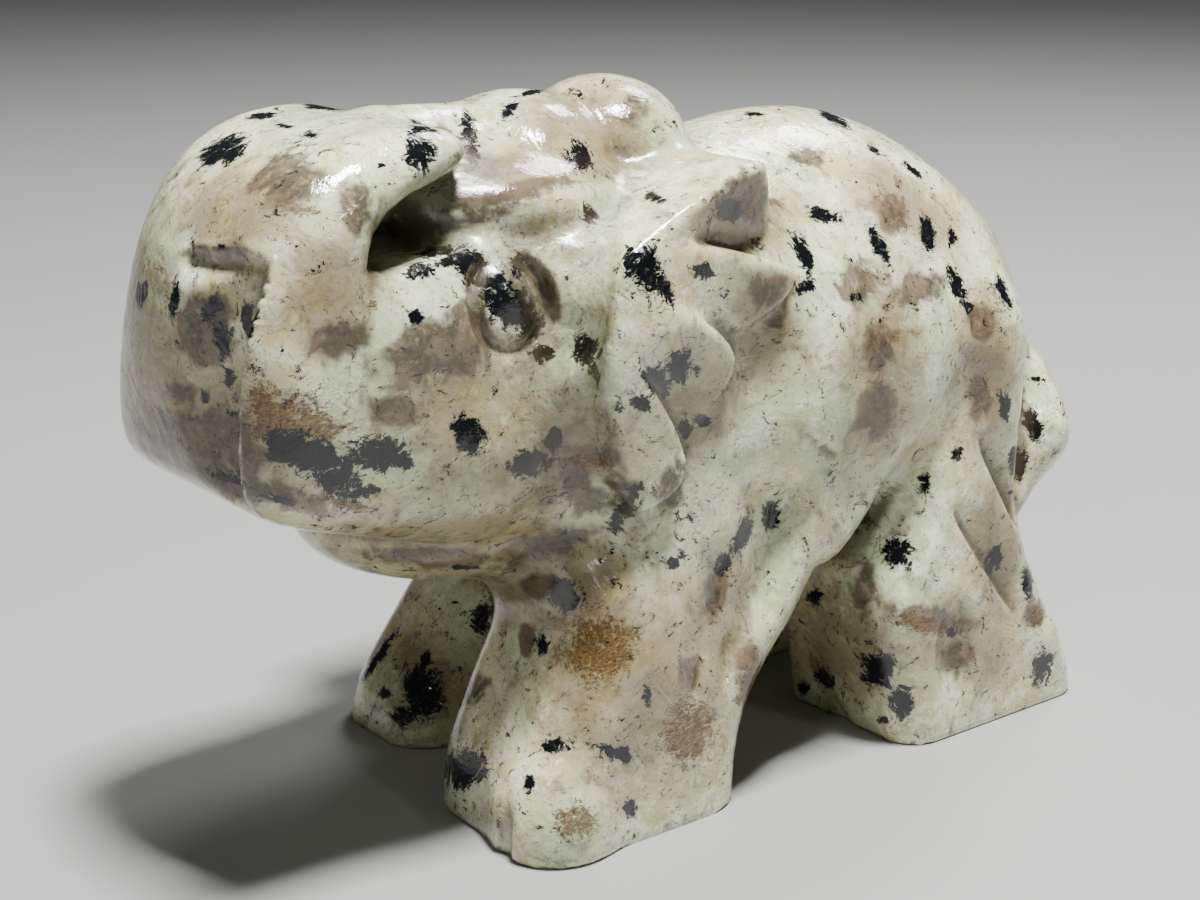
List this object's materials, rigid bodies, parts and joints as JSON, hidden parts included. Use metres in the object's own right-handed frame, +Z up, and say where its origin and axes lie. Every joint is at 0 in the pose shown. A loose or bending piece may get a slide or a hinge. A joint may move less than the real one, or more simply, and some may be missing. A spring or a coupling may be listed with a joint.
{
  "type": "carved stone elephant figurine",
  "caption": "Small elephant carved from one piece of polished speckled stone, trunk curled back over its head, standing on its feet as a shelf ornament.",
  "frame": {"origin": "middle of the bounding box, at the level of the soles", "axes": "+Z up, face towards -Y, left side towards +X"},
  "size_m": [0.0252, 0.0536, 0.0364],
  "materials": {
    "stone": "polished pale green-white stone with black, brown and rust marks"
  },
  "bodies": {
    "root": {"elephant": "stone"}
  },
  "joints": []
}
